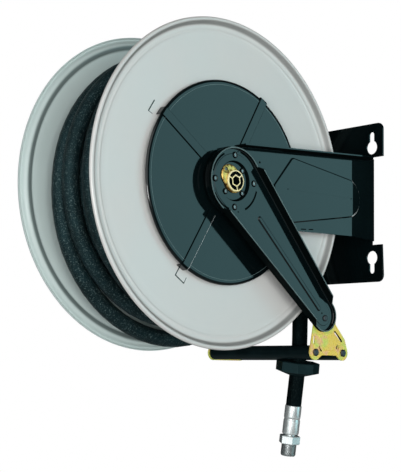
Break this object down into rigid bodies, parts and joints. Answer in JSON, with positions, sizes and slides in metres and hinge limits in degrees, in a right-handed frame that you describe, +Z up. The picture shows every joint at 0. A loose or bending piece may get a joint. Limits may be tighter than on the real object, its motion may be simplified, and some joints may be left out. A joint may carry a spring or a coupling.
{
  "type": "spring-rewind fire hose reel",
  "caption": "Wall-mounted open hose reel with a spring-rewind drum, a fixed arm, a swinging roller guide and a wound rubber hose with stop and threaded end.",
  "frame": {"origin": "centre of the wall plate's back face, on the wall, at the height of the reel's axle and in the drum's middle plane", "axes": "+Z up, +Y into the wall, X along the reel's axle with the arms and water inlet on the +X side"},
  "size_m": [0.2809, 0.6179, 0.7172],
  "materials": {
    "black_steel": "gloss black powder coat",
    "grey_paint": "semi-gloss light grey paint",
    "bright_zinc": "bright zinc plate",
    "yellow_zinc": "yellow passivated zinc",
    "brass": "cast and turned brass",
    "yellow_plastic": "moulded pale yellow plastic",
    "bolt_steel": "blackened steel",
    "spring_steel": "oiled spring steel",
    "black_plastic": "satin black plastic",
    "black_rubber": "cloth-marked black rubber"
  },
  "bodies": {
    "bracket": {"wall_bracket": "black_steel", "axle": "bright_zinc", "hub_plate": "black_steel", "swivel_body": "brass", "inlet_seal": "black_rubber", "inlet_plug": "yellow_plastic", "hub_screw_1": "bolt_steel", "hub_screw_2": "bolt_steel", "hub_screw_3": "bolt_steel", "hub_screw_4": "bolt_steel", "axle_clip": "bolt_steel", "main_spring": "spring_steel", "ratchet_wheel": "bright_zinc"},
    "drum": {"near_disc": "grey_paint", "far_disc": "grey_paint", "drum_shell": "bright_zinc", "spring_case": "bright_zinc", "spring_cover": "black_steel", "cover_strap_1": "black_steel", "cover_strap_2": "black_steel", "cover_strap_3": "black_steel", "cover_strap_4": "black_steel", "bush_near": "black_plastic", "bush_far": "black_plastic", "spindle": "brass", "hose_inlet": "black_rubber", "inlet_clamp": "bolt_steel", "far_cover": "black_steel", "far_screw_1": "bolt_steel", "far_screw_2": "bolt_steel", "far_screw_3": "bolt_steel", "far_screw_4": "bolt_steel", "hose_winding": "black_rubber", "pawl_pin": "bolt_steel"},
    "pawl": {"latch_pawl": "black_plastic"},
    "guide_arm": {"swing_arm": "black_steel", "pivot_ring": "bright_zinc", "pivot_screw_1": "bolt_steel", "pivot_screw_2": "bolt_steel", "pivot_screw_3": "bolt_steel", "pivot_screw_4": "bolt_steel", "tip_screw": "bolt_steel", "tip_nut": "bolt_steel", "guide_bracket": "yellow_zinc", "far_guide_plate": "yellow_zinc", "roller_shaft_1": "bolt_steel", "roller_shaft_2": "bolt_steel", "shaft_nut_1": "bolt_steel", "shaft_nut_2": "bolt_steel", "hose_run": "black_rubber", "hose_stop": "black_rubber", "ferrule": "bright_zinc", "hose_fitting": "bright_zinc"},
    "front_roller": {"front_roller": "black_plastic"},
    "rear_roller": {"rear_roller": "black_plastic"}
  },
  "joints": [
    {"name": "drum_spin", "type": "hinge", "parent": "bracket", "child": "drum", "pos_m": [0, -0.348, 0], "axis": [1, 0, 0], "continuous": true},
    {"name": "guide_arm_swing", "type": "hinge", "parent": "bracket", "child": "guide_arm", "pos_m": [0, -0.348, 0], "axis": [1, 0, 0], "range_deg": [-145, 8]},
    {"name": "front_roller_spin", "type": "hinge", "parent": "guide_arm", "child": "front_roller", "pos_m": [0, -0.1573, -0.269], "axis": [1, 0, 0], "continuous": true},
    {"name": "rear_roller_spin", "type": "hinge", "parent": "guide_arm", "child": "rear_roller", "pos_m": [0, -0.0903, -0.269], "axis": [1, 0, 0], "continuous": true},
    {"name": "pawl_pivot", "type": "hinge", "parent": "drum", "child": "pawl", "pos_m": [0.0225, -0.276, 0], "axis": [1, 0, 0], "range_deg": [-14, 2], "stiffness_Nm_per_rad": 0.05}
  ]
}
